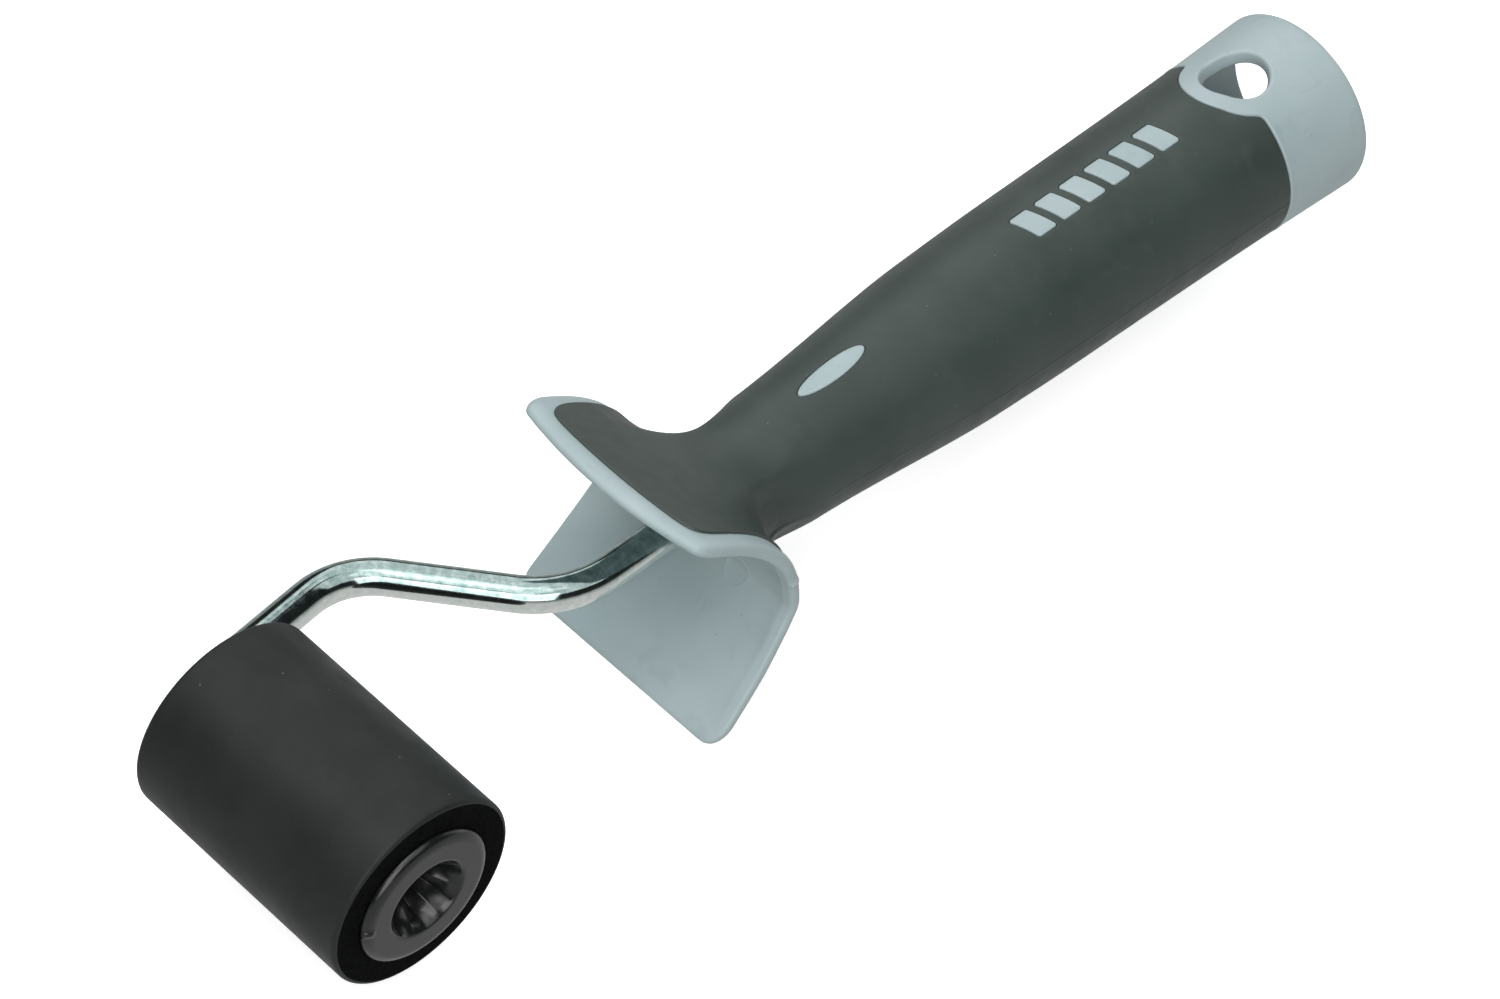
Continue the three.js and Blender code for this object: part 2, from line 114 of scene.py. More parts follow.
HANG_ROUND = 201.6
HANG_TIP = 195.4
HANG_RADIUS = 5.2
HANG_WAIST = 4.2  # half width of the hole half way to its tip
HANG_NOSE = 1.7
HANG_SHIFT = -0.85  # of the hole across the handle
HANG_TURN = math.radians(35)  # its tip leans towards the crank's side
HANG_COLLAR = 3.3
WINDOW = {"y": 109.0, "length": 14.0, "width": 4.6}
MARK = {"first": 153.4, "pitch": 5.6, "bars": 6, "length": 4.0, "width": 6.0, "slant": 1.6}
PORE_DEPTH = 0.16  # of the rubber's cut ends
CAP_FLANGE = 12.2
CAP_SKIRT = 8.7
CAP_RECESS = 9.0  # depth of the outer cap's cone
GATE_TURN = math.radians(276)  # where the moulding nub stands on the outer cap
LAYOUT_RADIUS = 15.0  # turns an angle round the handle into millimetres of layout


# ---- Camera

LENS = 148.8
VIEW_X = (0.685, 0.572, -0.451)  # the tool's X axis as the camera sees it: right, down, forward
VIEW_Y = (0.822, -0.569)  # the tool's Y axis in the same way, before it is squared to X
VIEW_TILT = 0.527
ROLLER_IN_VIEW = (-64.08, 45.18, 925.655245)  # the middle of the roller from the camera, in millimetres


# ---- Light: the way to each softbox, its side in metres and its power in watts

LAMP_DISTANCE = 1.2
LAMPS = [("key", (-0.4, -0.1, 0.9), 1.2, 7.0), ("front", (0, -0.45, 0.9), 1.2, 4.4),
         ("right", (0.4, -0.1, 0.9), 1.2, 5.8), ("back", (-0.55, 0.6, 0.6), 0.8, 3.0),
         ("side", (0.6, -0.6, 0.5), 0.8, 5.9), ("rear", (0.0, 1.0, 0.25), 0.9, 1.8)]
WORLD_STOPS = [(0.0, 0.64), (0.50, 0.56), (0.55, 0.34), (0.60, 0.04), (1.0, 0.03)]  # height, brightness


# ---- Mesh helpers

def add_mesh(name, points, faces, materials, body, stands_for, face_slots=None):
    """A piece from points in the tool's frame, in millimetres, riding on a body of the CAD model."""
    mesh = bpy.data.meshes.new(name)
    placed = np.asarray(points, dtype=float) * MM + ORIGIN
    mesh.from_pydata(placed.tolist(), [], [list(face) for face in faces])
    for material in materials:
        mesh.materials.append(material)
    if face_slots is not None:
        mesh.polygons.foreach_set("material_index", face_slots)
    mesh.update()
    mesh.validate()
    mesh.shade_smooth()
    piece = bpy.data.objects.new(name, mesh)
    bpy.context.scene.collection.objects.link(piece)
    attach(piece, body)
    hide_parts(*stands_for)
    return piece


def rounded_loop(corners, step_angle=math.radians(10)):
    """A closed outline through (a, b, radius) corners, with each corner rounded to its radius."""
    out = []
    count = len(corners)
    for i, (a, b, radius) in enumerate(corners):
        here = np.array([a, b], dtype=float)
        if radius <= 0:
            out.append(here)
            continue
        before = np.array(corners[i - 1][:2], dtype=float) - here
        after = np.array(corners[(i + 1) % count][:2], dtype=float) - here
        before /= np.linalg.norm(before)
        after /= np.linalg.norm(after)
        opening = math.acos(float(np.clip(before @ after, -1, 1)))
        if opening > math.pi - 1e-3:
            out.append(here)
            continue
        centre = here + (before + after) / np.linalg.norm(before + after) * radius / math.sin(opening / 2)
        start = here + before * radius / math.tan(opening / 2) - centre
        end = here + after * radius / math.tan(opening / 2) - centre
        turn = math.pi - opening
        side = math.copysign(1, start[0] * end[1] - start[1] * end[0])
        steps = max(2, math.ceil(turn / step_angle))
        for k in range(steps + 1):
            angle = side * turn * k / steps
            c, s = math.cos(angle), math.sin(angle)
            out.append(centre + np.array([c * start[0] - s * start[1], s * start[0] + c * start[1]]))
    return np.array(out)


def subdivided(loop, longest):
    """The closed outline with its long edges cut into shorter ones."""
    out = []
    for here, after in zip(loop, np.roll(loop, -1, axis=0)):
        cuts = max(1, math.ceil(np.linalg.norm(after - here) / longest))
        out.extend(here + (after - here) * k / cuts for k in range(cuts))
    return np.array(out)


def turned_x(profile, steps, shift=None):
    """Points and faces of a closed (x, radius) outline turned about the roller's axle."""
    rows = len(profile)
    points = []
    for i in range(steps):
        turn = TAU * i / steps
        for k, (x, radius) in enumerate(profile):
            dx, dr = shift(k, x, radius, turn) if shift else (0.0, 0.0)
            r = radius + dr
            points.append((ROLLER_X + x + dx, r * math.sin(turn), r * math.cos(turn)))
    faces = []
    for i in range(steps):
        j = (i + 1) % steps
        for k in range(rows):
            n = (k + 1) % rows
            faces.append((i * rows + k, i * rows + n, j * rows + n, j * rows + k))
    return points, faces


# ---- Flat layouts that become curved walls

def distance_to_loop(points, loop):
    """Each point's distance to a closed outline."""
    best = np.full(len(points), np.inf)
    for a, b in zip(loop, np.roll(loop, -1, axis=0)):
        edge = b - a
        along = np.clip(((points - a) @ edge) / max(edge @ edge, 1e-12), 0, 1)
        gap = points - (a + along[:, None] * edge)
        best = np.minimum(best, np.einsum("ij,ij->i", gap, gap))
    return np.sqrt(best)


def inside_loop(points, loop):
    """Which points lie inside a closed outline."""
    inside = np.zeros(len(points), dtype=bool)
    x, y = points[:, 0], points[:, 1]
    for (ax, ay), (bx, by) in zip(loop, np.roll(loop, -1, axis=0)):
        if ay == by:
            continue
        crosses = (ay > y) != (by > y)
        inside ^= crosses & (x < (bx - ax) * (y - ay) / (by - ay) + ax)
    return inside


def offset_loop(loop, amount):
    """The outline moved outwards by an amount, by its corner normals (counterclockwise outline)."""
    before = loop - np.roll(loop, 1, axis=0)
    after = np.roll(loop, -1, axis=0) - loop
    before /= np.maximum(np.linalg.norm(before, axis=1), 1e-9)[:, None]
    after /= np.maximum(np.linalg.norm(after, axis=1), 1e-9)[:, None]
    along = before + after
    along /= np.maximum(np.linalg.norm(along, axis=1), 1e-9)[:, None]
    spread = np.maximum(np.sqrt((1 + np.einsum("ij,ij->i", before, after)) / 2), 0.4)
    return loop + np.stack([along[:, 1], -along[:, 0]], 1) * (amount / spread)[:, None]


def counterclockwise(loop):
    x, y = loop[:, 0], loop[:, 1]
    area = np.sum(x * np.roll(y, -1) - np.roll(x, -1) * y)
    return loop if area > 0 else loop[::-1]


def triangulate(grid, lines, loops, keep_off):
    """Triangles through grid points, open lines and closed loops, which stay as edges."""
    kept = grid
    for loop in loops:
        kept = kept[distance_to_loop(kept, loop) > keep_off]
    for line in lines:
        doubled = np.vstack([line, line[::-1]])
        kept = kept[distance_to_loop(kept, doubled) > keep_off]
    points = [kept]
    edges = []
    base = len(kept)
    for loop in loops:
        n = len(loop)
        edges += [(base + i, base + (i + 1) % n) for i in range(n)]
        points.append(loop)
        base += n
    for line in lines:
        n = len(line)
        edges += [(base + i, base + i + 1) for i in range(n - 1)]
        points.append(line)
        base += n
    every = np.vstack(points)
    flat = [Vector((float(a), float(b))) for a, b in every]
    verts, _, faces, *_ = delaunay_2d_cdt(flat, edges, [], 0, 1e-5)
    return np.array([(v.x, v.y) for v in verts]), np.array([list(f) for f in faces])


def wall(flat, faces, top, bottom, period=None):
    """A closed body from a flat triangulation and the maps of its two sides.

    With a period, points whose second coordinate differs by it are one point.
    """
    a, b, c = flat[faces[:, 0]], flat[faces[:, 1]], flat[faces[:, 2]]
    turn = (b - a)[:, 0] * (c - a)[:, 1] - (b - a)[:, 1] * (c - a)[:, 0]
    faces = np.where((turn < 0)[:, None], faces[:, ::-1], faces)
    used, packed = np.unique(faces, return_inverse=True)
    faces = packed.reshape(faces.shape)
    flat = flat[used]
    if period:
        key = flat.copy()
        key[:, 1] = np.mod(key[:, 1] - flat[:, 1].min() + 1e-4, period)
        rounded = np.round(key, 3)
        _, first, merged = np.unique(rounded, axis=0, return_index=True, return_inverse=True)
        faces = merged.reshape(-1)[faces]
        flat = flat[first]
    count = len(flat)
    points = np.vstack([top(flat), bottom(flat)])
    directed = {}
    for f in faces:
        for i in range(3):
            directed[(int(f[i]), int(f[(i + 1) % 3]))] = True
    sides = []
    for i, j in directed:
        if (j, i) not in directed:
            sides.append((j, i, i + count))
            sides.append((j, i + count, j + count))
    every = [tuple(f) for f in faces] + [tuple(int(k) + count for k in f[::-1]) for f in faces] + sides
    return points, every


def quarter_round(distance, radius):
    """How far a surface has dropped at a distance from an edge rounded to a radius."""
    inside = np.clip(radius - distance, 0, radius)
    return radius - np.sqrt(np.maximum(radius**2 - inside**2, 0))


# ---- Guard

def guard_front(z):
    rise = (np.asarray(z, dtype=float) - GUARD_BACK_Z) / SWEEP_HEIGHT
    up = GUARD_BACK_Y - SWEEP_UP[0] * np.maximum(rise, 0) ** SWEEP_UP[1]
    reach, bend = SWEEP_DOWN
    down = GUARD_BACK_Y - reach * (np.hypot(rise, bend) - bend)
    return np.where(rise > 0, up, down)


def guard_bow(x, z):
    return GUARD_BOW * (1 - (x / GUARD_HALF_WIDTH) ** 2) * np.clip((z - 4) / 17, 0, 1) ** 1.5


def guard_behind(z, offset):
    """The (y, z) point an offset behind the guard's front, measured square to it."""
    step = 0.02
    slope = (guard_front(z + step) - guard_front(z - step)) / (2 * step)
    length = np.hypot(1, slope)
    return guard_front(z) + offset / length, z - offset * slope / length


def guard_half_width(z):
    return GUARD_HALF_WIDTH + 0.0012 * z * z - 0.033 * z


def guard_loop():
    """The guard's outline in x and z, counterclockwise."""
    top, foot = GUARD_TOP - GUARD_LEAN, GUARD_FOOT + GUARD_LEAN
    corners = []
    for z in np.linspace(foot, top, 14):
        wider = (GUARD_EXTRA[0] * np.clip((17 - z) / 8, 0, 1)
                 + GUARD_EXTRA[1] * np.clip((-6 - z) / 8, 0, 1))
        corner = {foot: FOOT_CORNER, top: GUARD_CORNER}.get(z, 0)
        corners.append((guard_half_width(z) + wider, z, corner))
    for x in np.linspace(0.75, -0.75, 7):
        corners.append((x * GUARD_HALF_WIDTH, top + GUARD_CROWN * (1 - x * x), 0))
    for z in np.linspace(top, foot, 12):
        corners.append((-guard_half_width(z), z, GUARD_CORNER if z in (foot, top) else 0))
    loop = subdivided(rounded_loop(corners), 0.35)
    nub = GATE_NUB[1] * np.exp(-(((loop[:, 1] - GATE_NUB[0]) / 0.25) ** 2))
    return loop + np.stack([np.where(loop[:, 0] > 0, nub, 0), np.zeros(len(loop))], 1)


def make_guard():
    outline = guard_loop()
    hole = np.array([(WIRE_HOLE * math.cos(t), WIRE_HOLE * math.sin(t))
                     for t in np.linspace(0, TAU, 48, endpoint=False)])
    rings = [offset_loop(outline, -d) for d in (0.05, 0.16, 0.36, 0.66, 1.0, 1.3, 1.7, 2.2)]
    rings += [offset_loop(hole, d) for d in (0.1, 0.25, 0.5)]
    angles = np.linspace(0, TAU, 40, endpoint=False)
    ring_of = np.stack([np.cos(angles), np.sin(angles)], 1)
    rings += [PIN_MARK[:2] + ring_of * (PIN_MARK[2] + d) for d in (-0.4, -0.2, 0.0, 0.2, 0.4)]
    steps = np.arange(-26, 26.1, 0.8)
    grid = np.stack(np.meshgrid(steps, steps), -1).reshape(-1, 2)
    flat, faces = triangulate(grid, [], [outline, hole, *rings], 0.45)
    middles = flat[faces].mean(1)
    faces = faces[inside_loop(middles, outline) & ~inside_loop(middles, hole)]

    def side(points, sign):
        edge = distance_to_loop(points, outline)
        rim = distance_to_loop(points, hole)
        round_over = GUARD_FRONT_ROUND if sign < 0 else GUARD_BACK_ROUND
        drop = np.maximum(quarter_round(edge, round_over), quarter_round(rim, 0.4))
        bead = BEAD_RISE * np.exp(-(((edge - BEAD_INSET) / 0.5) ** 2)) if sign < 0 else 0.0
        bead = bead * np.clip((points[:, 0] - 2) / 12, 0, 1) * np.clip((points[:, 1] + 24) / 12, 0, 1)
        pin = np.hypot(*(points - PIN_MARK[:2]).T) - PIN_MARK[2]
        bead = bead + (PIN_RISE * np.exp(-((pin / 0.2) ** 2)) if sign < 0 else 0.0)
        offset = drop - bead if sign < 0 else GUARD_THICK - drop
        y, z = guard_behind(points[:, 1], offset)
        y = y - guard_bow(points[:, 0], points[:, 1])
        z = np.clip(z, GUARD_FOOT, GUARD_TOP + GUARD_CROWN + GUARD_PROUD)
        return np.stack([points[:, 0], y, z], 1)

    points, faces = wall(flat, faces, lambda p: side(p, 1), lambda p: side(p, -1))
    return add_mesh("guard_plate", points, faces, [GREY], "handle", ["handle_core"])


# ---- Handle: layouts of the grip and of the core

def skin_radius(y):
    ys, rs = np.array(SKIN).T
    slopes = np.gradient(rs, ys)
    y = np.clip(np.asarray(y, dtype=float), ys[0], ys[-1])
    i = np.clip(np.searchsorted(ys, y, side="right") - 1, 0, len(ys) - 2)
    span = ys[i + 1] - ys[i]
    t = (y - ys[i]) / span
    return ((2 * t**3 - 3 * t**2 + 1) * rs[i] + (t**3 - 2 * t**2 + t) * span * slopes[i]
            + (3 * t**2 - 2 * t**3) * rs[i + 1] + (t**3 - t**2) * span * slopes[i + 1])


def socket_radius(y):
    ys, rs = np.array(SOCKET).T
    return np.where(y < SOCKET_FLOOR - 0.02, WIRE_RADIUS + 0.1, np.interp(y, ys, rs))


def across(x, radius=15.6):
    """Layout coordinate of a point seen at x from above, on the handle's round skin."""
    return LAYOUT_RADIUS * math.asin(max(-1, min(1, x / radius)))


def hang_loop(grow, turn):
    """The hang hole's outline in the layout, grown by an amount, on top (0) or underneath (pi)."""
    tip = HANG_TIP - HANG_ROUND + HANG_NOSE
    circles = [(0.0, HANG_RADIUS), (0.5 * tip, HANG_WAIST), (tip, HANG_NOSE)]
    angles = np.linspace(0, TAU, 96, endpoint=False)
    points = np.vstack([np.stack([at + (r + grow) * np.cos(angles), (r + grow) * np.sin(angles)], 1)
                        for at, r in circles])
    c, s = math.cos(HANG_TURN), math.sin(HANG_TURN)
    side = 1 if turn == 0 else -1
    loop = np.array([(HANG_ROUND + c * y - s * x, side * across(HANG_SHIFT + c * x + s * y))
                     for y, x in convex_outline(points)])
    return subdivided(counterclockwise(loop), 0.4) + np.array([0, LAYOUT_RADIUS * turn])


def convex_outline(points):
    """The convex hull of flat points, in order round it."""
    ordered = sorted(map(tuple, points))

    def half(run):
        chain = []
        for p in run:
            while len(chain) > 1 and ((chain[-1][0] - chain[-2][0]) * (p[1] - chain[-2][1])
                                      - (chain[-1][1] - chain[-2][1]) * (p[0] - chain[-2][0])) <= 0:
                chain.pop()
            chain.append(p)
        return chain[:-1]

    return half(ordered) + half(ordered[::-1])


def ellipse_loop(y, length, width, grow):
    angles = np.linspace(0, TAU, 72, endpoint=False)
    long, wide = length / 2 + grow, width / 2 + grow
    return counterclockwise(np.array([(y + long * math.cos(t), across(wide * math.sin(t))) for t in angles]))


def bar_loop(index, grow):
    start = MARK["first"] + MARK["pitch"] * index - MARK["length"] / 2
    lean = MARK["slant"] / 2
    half = MARK["width"] / 2
    end = start + MARK["length"]
    r = 0.5
    corners = [(start - lean, -half, r), (start + lean, half, r),
               (end + lean, half, r), (end - lean, -half, r)]
    loop = counterclockwise(np.array([(y, across(x)) for y, x in rounded_loop(corners)]))
    return offset_loop(subdivided(loop, 0.4), grow)


LAYOUT_START = -LAYOUT_RADIUS * math.pi / 2
LAYOUT_PERIOD = LAYOUT_RADIUS * TAU


def grip_border():
    """The line in the layout where the soft grip stops: a ring round the butt and the two collars."""
    collars = [hang_loop(HANG_COLLAR, 0), hang_loop(HANG_COLLAR, math.pi)]
    border = []
    for w in np.linspace(LAYOUT_START, LAYOUT_START + LAYOUT_PERIOD, 361):
        reach = GRIP_END
        for collar in collars:
            a, b = collar, np.roll(collar, -1, axis=0)
            hit = (a[:, 1] > w) != (b[:, 1] > w)
            if hit.any():
                y = a[hit, 0] + (b[hit, 0] - a[hit, 0]) * (w - a[hit, 1]) / (b[hit, 1] - a[hit, 1])
                reach = min(reach, y.min())
        border.append((reach, w))
    return np.array(border)


def smooth_border():
    """The grip's border with its inner corners rounded, as evenly spaced points."""
    border = grip_border()
    step = 0.3
    lengths = np.concatenate([[0], np.cumsum(np.linalg.norm(np.diff(border, axis=0), axis=1))])
    even = np.linspace(0, lengths[-1], int(lengths[-1] / step))
    line = np.stack([np.interp(even, lengths, border[:, k]) for k in (0, 1)], 1)
    for _ in range(10):
        line[1:-1] = 0.25 * line[:-2] + 0.5 * line[1:-1] + 0.25 * line[2:]
    return line


BORDER = smooth_border()


def border_distance(points):
    """Signed distance to the grip's border: positive on the butt's side."""
    doubled = np.vstack([BORDER, BORDER[::-1]])
    d = distance_to_loop(points, doubled)
    reach = np.interp(points[:, 1], BORDER[:, 1], BORDER[:, 0])
    far = np.vstack([BORDER, [[260, BORDER[-1, 1] + 1], [260, BORDER[0, 1] - 1]]])
    behind = inside_loop(points, far) | (points[:, 0] > GRIP_END + 0.5)
    behind &= points[:, 0] >= reach - 4
    return np.where(behind, d, -d)


def shifted_border(amount):
    """The border moved towards the butt, as an open line from one cut edge to the other."""
    before = np.vstack([BORDER[:1], BORDER[:-1]])
    after = np.vstack([BORDER[1:], BORDER[-1:]])
    along = after - before
    along /= np.linalg.norm(along, axis=1)[:, None]
    line = BORDER + np.stack([along[:, 1], -along[:, 0]], 1) * amount
    line[0, 1] = BORDER[0, 1]
    line[-1, 1] = BORDER[-1, 1]
    return line


def lands_loops(grow):
    loops = [ellipse_loop(WINDOW["y"], WINDOW["length"], WINDOW["width"], grow)]
    return loops + [bar_loop(i, grow) for i in range(MARK["bars"])]


def layout_grid(low, high, step, extra=(), sides=160):
    ys = np.unique(np.concatenate([np.arange(low, high, step), [high], np.array(extra, dtype=float)]))
    ws = np.linspace(LAYOUT_START, LAYOUT_START + LAYOUT_PERIOD, sides + 1)
    seams = [at + d for at in (ws[0], ws[sides // 2], ws[-1]) for d in (-0.26, -0.13, 0.13, 0.26)]
    ws = np.unique(np.concatenate([ws, [w for w in seams if ws[0] < w < ws[-1]]]))
    return np.stack(np.meshgrid(ys, ws, indexing="ij"), -1).reshape(-1, 2)


def around(points, radius):
    turn = points[:, 1] / LAYOUT_RADIUS
    return np.stack([radius * np.sin(turn), points[:, 0], radius * np.cos(turn)], 1)


def flare_frame(turn):
    """Where the flare's edge stands on the guard in each direction round the handle, and its way in."""
    n = FLARE_SQUARE
    c, s = np.sin(turn), np.cos(turn)
    tall = np.where(s > 0, GUARD_TOP, -GUARD_FOOT - FLARE_LIFT) - GUARD_LEAN - FLARE_LOW
    reach = (np.abs(c) ** n + np.abs(s) ** n) ** (-1 / n)
    x = reach * c * (GUARD_HALF_WIDTH - FLARE_INSET)
    z = reach * s * tall

    def at(share, offset):
        y, height = guard_behind(z * share, offset)
        y = y - guard_bow(x * share, z * share)
        return np.stack([x * share, y, height], 1)

    outer = at(1.0, GUARD_THICK + FLARE_STEP)
    inward = at(0.7, GUARD_THICK + FLARE_STEP) - outer
    inward /= np.linalg.norm(inward, axis=1)[:, None]
    return at(1.0, GUARD_THICK - 0.3), outer, inward


def flare_surface(points, less):
    """The grip between neck and guard; `less` > 0 gives the hidden side that deep."""
    turn = points[:, 1] / LAYOUT_RADIUS
    t = np.clip((NECK - points[:, 0]) / FLARE_LENGTH, 0, 1)[:, None]
    inside, outer, inward = flare_frame(turn)
    end = np.stack([NECK_RADIUS * np.sin(turn), np.full_like(turn, NECK), NECK_RADIUS * np.cos(turn)], 1)
    start, pull_in, pull_back = outer, 0.8, 0.36
    if less > 0:
        shrink = (NECK_RADIUS - less) / NECK_RADIUS
        end = end * np.array([shrink, 1, shrink])
        start, pull_in, pull_back = inside, 0.5, 0.7
    reach = np.linalg.norm(end - start, axis=1)[:, None]
    first = start + inward * reach * pull_in
    second = end - np.array([0, 1, 0]) * reach * pull_back
    u = 1 - t
    return t**3 * start + 3 * t * t * u * first + 3 * t * u * u * second + u**3 * end


def make_grip():
    low = NECK - FLARE_LENGTH
    edge = 0.28
    clear = 0.07
    borders = [shifted_border(-clear - d) for d in (0.0, 0.06, 0.14, 0.28, 0.55)]
    holes = lands_loops(clear)
    rings = [loop for d in (0.06, 0.14, 0.28, 0.55) for loop in lands_loops(clear + d)]
    grid = np.vstack([layout_grid(low, NECK - 0.8, 0.8, (low + 0.15, low + 0.4), sides=320),
                      layout_grid(NECK, 202, 0.8)])
    flat, faces = triangulate(grid, borders, [*holes, *rings], 0.4)
    middles = flat[faces].mean(1)
    keep = border_distance(middles) < -clear
    for hole in holes:
        keep &= ~inside_loop(middles, hole)
    faces = faces[keep]

    def top(points):
        drop = quarter_round(np.maximum(-border_distance(points) - clear, 0), edge)
        for hole in holes:
            near = np.abs(points[:, 0] - hole[:, 0].mean()) < 12
            d = np.full(len(points), 9.0)
            d[near] = distance_to_loop(points[near], hole)
            drop = np.maximum(drop, quarter_round(d, edge))
        flank = np.mod(points[:, 1] - LAYOUT_START, LAYOUT_PERIOD / 2)
        flank = np.minimum(flank, LAYOUT_PERIOD / 2 - flank)
        seam = SEAM_RISE * np.exp(-((flank / 0.15) ** 2))
        straight = around(points, skin_radius(points[:, 0]) - drop + seam)
        curved = flare_surface(points, 0)
        share = (points[:, 0] < NECK)[:, None]
        return np.where(share, curved, straight)

    def bottom(points):
        straight = around(points, skin_radius(points[:, 0]) - GRIP_THICK)
        return np.where((points[:, 0] < NECK)[:, None], flare_surface(points, GRIP_THICK), straight)

    points, faces = wall(flat, faces, top, bottom, LAYOUT_PERIOD)
    return add_mesh("soft_grip", points, faces, [SOFT], "handle", ["grip_overmould"])


def make_core():
    low, high = 90.0, BUTT_END
    outer_round, inner_round, hole_round = 1.7, 0.5, 0.6
    borders = [shifted_border(d) for d in (-0.05, 0.0, 0.05, 0.12, 0.25, 0.5, 0.8)]
    lands = lands_loops(0.0)
    land_rings = [loop for d in (0.05, -0.05, -0.12, -0.25) for loop in lands_loops(d)]
    holes = [hang_loop(0, 0), hang_loop(0, math.pi)]
    hole_rings = [offset_loop(hole, d) for hole in holes for d in (0.08, 0.2, 0.38, 0.6, 0.9)]
    rim = [high - d for d in (0.04, 0.1, 0.2, 0.36, 0.55, 0.8, 1.1, 1.4, 1.7)]
    grid = layout_grid(low, high, 0.9, (*rim, SOCKET_FLOOR - 0.03, SOCKET_FLOOR))
    flat, faces = triangulate(grid, borders, [*lands, *land_rings, *holes, *hole_rings], 0.3)
    middles = flat[faces].mean(1)
    keep = np.ones(len(faces), dtype=bool)
    for hole in holes:
        keep &= ~inside_loop(middles, hole)
    faces = faces[keep]

    def near_holes(points):
        return np.minimum(*(distance_to_loop(points, hole) for hole in holes))

    def top(points):
        out = border_distance(points)
        radius = skin_radius(points[:, 0])
        drop = quarter_round(np.clip(high - points[:, 0], 0, None), outer_round)
        drop = np.maximum(drop, quarter_round(near_holes(points), hole_round))
        lip = quarter_round(np.clip(out, 0, None), 0.3) - 0.10 * np.exp(-(((out - 0.35) / 0.25) ** 2))
        height = -np.maximum(drop, 0) - np.where(drop > 0.05, 0, lip)
        under = out < -0.02
        for loop in lands:
            near = np.abs(points[:, 0] - loop[:, 0].mean()) < 9
            inside = np.zeros(len(points), dtype=bool)
            d = np.zeros(len(points))
            inside[near] = inside_loop(points[near], offset_loop(loop, 0.02))
            d[near] = distance_to_loop(points[near], loop)
            under &= ~inside
            height = np.where(inside, -quarter_round(d, 0.22) + 0.05, height)
        height = np.where(under, -GRIP_THICK - 0.05, height)
        return around(points, radius + height)

    def bottom(points):
        rise = quarter_round(np.clip(high - points[:, 0], 0, None), inner_round)
        rise = np.maximum(rise, quarter_round(near_holes(points), 0.3))
        return around(points, socket_radius(points[:, 0]) + rise)

    points, faces = wall(flat, faces, top, bottom, LAYOUT_PERIOD)
    return add_mesh("handle_shell", points, faces, [GREY], "handle", ["handle_core"])


# ---- Roller

def make_sleeve():
    end, r = SLEEVE_HALF, SLEEVE_RADIUS
    bore, seat, depth = 11.3, 12.5, 1.6
    corners = [(-end + depth, bore, 0), (-end + depth, seat, 0), (-end, seat, 0.25), (-end, r, 0.7),
               (end, r, 0.7), (end, bore, 0.2)]
    profile = subdivided(rounded_loop(corners, math.radians(15)), 0.45)

    def porous(k, x, radius, turn):
        face = (abs(x) > end - 0.02) and bore + 0.3 < radius < r - 0.2
        if not face:
            return 0.0, 0.0
        p = (x * 3, radius * math.sin(turn) * 2.6, radius * math.cos(turn) * 2.6)
        return -math.copysign(max(0, noise.noise(Vector(p))) ** 1.5 * PORE_DEPTH, x), 0.0

    points, faces = turned_x(profile, 320, porous)
    rows = len(profile)
    nxt = np.roll(profile, -1, axis=0)
    cut = [1 if abs(p[0] - n[0]) < 0.02 or max(p[1], n[1]) < r - 0.75 else 0 for p, n in zip(profile, nxt)]
    face_slots = [cut[i % rows] for i in range(len(faces))]
    return add_mesh("sleeve", points, faces, [RUBBER, RUBBER_CUT], "roller",
                    ["roller_sleeve"], face_slots)


def make_outer_cap():
    face = SLEEVE_HALF + 1.5
    seat = SLEEVE_HALF + 0.03
    floor = face - CAP_RECESS
    flange, flat, mouth, bottom = CAP_FLANGE, 10.4, 7.0, 3.2
    shoulder = [(seat + (face - seat) * math.sin(a) ** 0.9, flat + (flange - flat) * math.cos(a))
                for a in np.radians(np.linspace(0, 90, 12))]
    recess = [(face - 0.06, mouth + 0.12), (face - 0.22, mouth)]
    recess += [(face - 0.22 - (CAP_RECESS - 0.22) * t, mouth + (bottom - mouth) * t ** 0.85)
               for t in np.linspace(0.05, 1, 18)]
    tail = [(floor, 0.02), (floor - 1.2, 0.02), (floor - 1.2, CAP_SKIRT), (seat, CAP_SKIRT),
            (seat, flange - 0.25)]
    flat_face = [(face, radius) for radius in np.linspace(flat - 0.4, mouth + 0.35, 8)]
    profile = np.array([(seat + 0.02, flange - 0.03), *shoulder, *flat_face, *recess, *tail])

    def ribs(k, x, radius, turn):
        if not (floor - 0.01 < x < face - 0.3 and radius < mouth):
            return gate(x, radius, turn)
        deep = (face - x) / CAP_RECESS
        ridge = abs((turn * 8 / TAU) % 1 - 0.5) * 2  # 0 on a rib, 1 between two
        return 0.0, (ridge - 0.5) * 2.2 * min(1, deep * 2.2) * (radius / mouth)

    def gate(x, radius, turn):
        spot = math.exp(-(((turn - GATE_TURN) * radius / 0.5) ** 2)) * (x > seat + 0.2) * (radius > flat)
        return 0.35 * spot, 0.3 * spot

    points, faces = turned_x(profile, 256, ribs)
    return add_mesh("outer_cap", points, faces, [CAP], "roller", ["outer_end_cap"])



